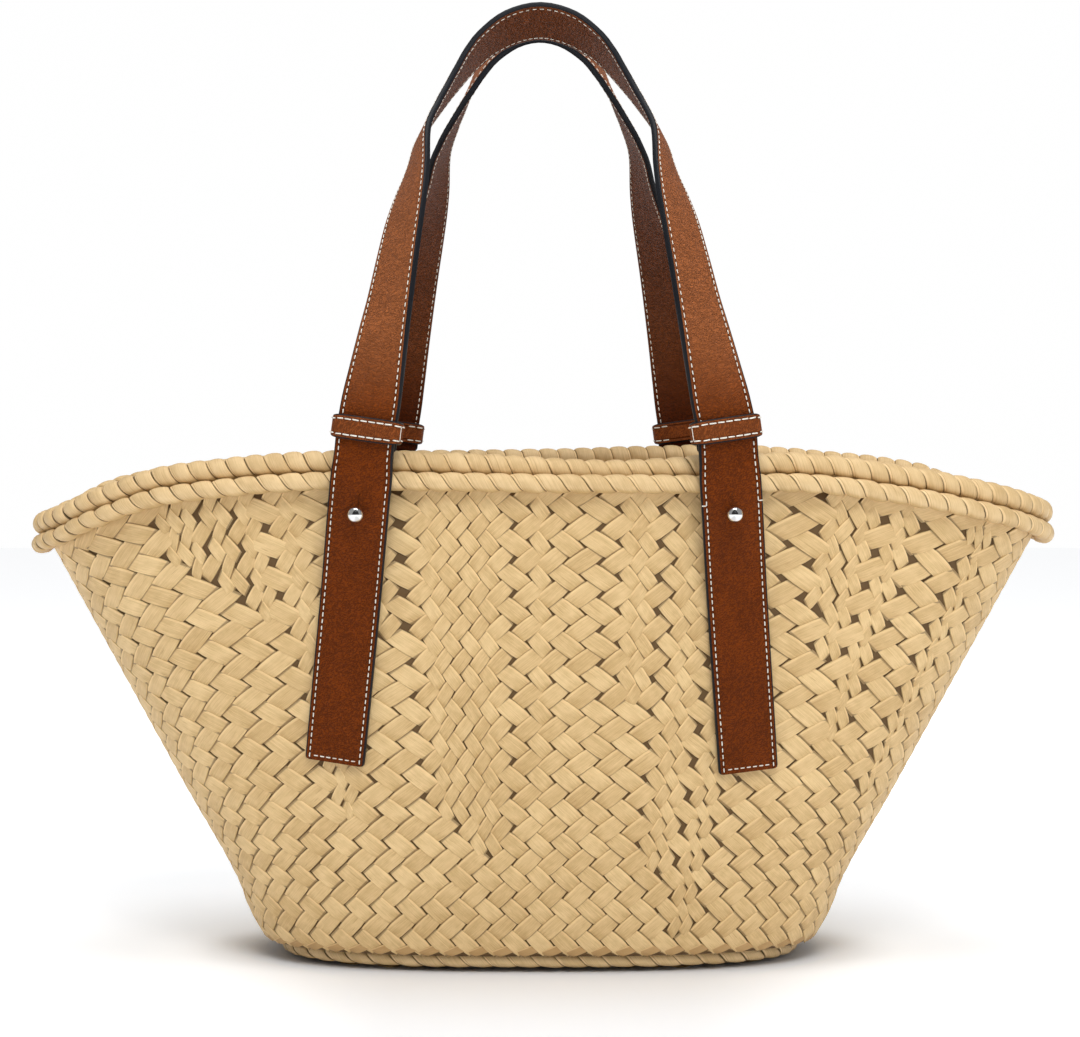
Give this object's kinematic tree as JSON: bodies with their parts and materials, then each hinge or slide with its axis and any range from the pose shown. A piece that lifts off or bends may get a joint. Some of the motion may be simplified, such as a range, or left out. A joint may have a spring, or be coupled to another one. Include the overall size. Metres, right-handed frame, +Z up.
{
  "type": "straw basket bag",
  "caption": "Plaited palm-leaf basket bag with wrapped rim and foot, twisted brown leather strap handles, stitched keeper loops and polished ball studs",
  "frame": {"origin": "on the surface it stands on, under the middle of the bag", "axes": "+Z up, +X to the right end, -Y towards the front face, where the picture looks from"},
  "size_m": [0.5016, 0.2272, 0.462],
  "materials": {
    "plaited_straw": "plaited palm leaf",
    "leaf_roll": "wrapped palm leaf",
    "brown_leather": "fine grained, painted edges",
    "polished_steel": "polished"
  },
  "bodies": {
    "root": {"basket_body": "plaited_straw", "upper_rim_roll": "leaf_roll", "lower_rim_roll": "leaf_roll", "base_roll": "leaf_roll", "front_handle": "brown_leather", "back_handle": "brown_leather", "front_left_keeper": "brown_leather", "front_left_backing": "brown_leather", "front_left_stud": "polished_steel", "front_right_keeper": "brown_leather", "front_right_backing": "brown_leather", "front_right_stud": "polished_steel", "back_left_keeper": "brown_leather", "back_left_backing": "brown_leather", "back_left_stud": "polished_steel", "back_right_keeper": "brown_leather", "back_right_backing": "brown_leather", "back_right_stud": "polished_steel"}
  },
  "joints": []
}
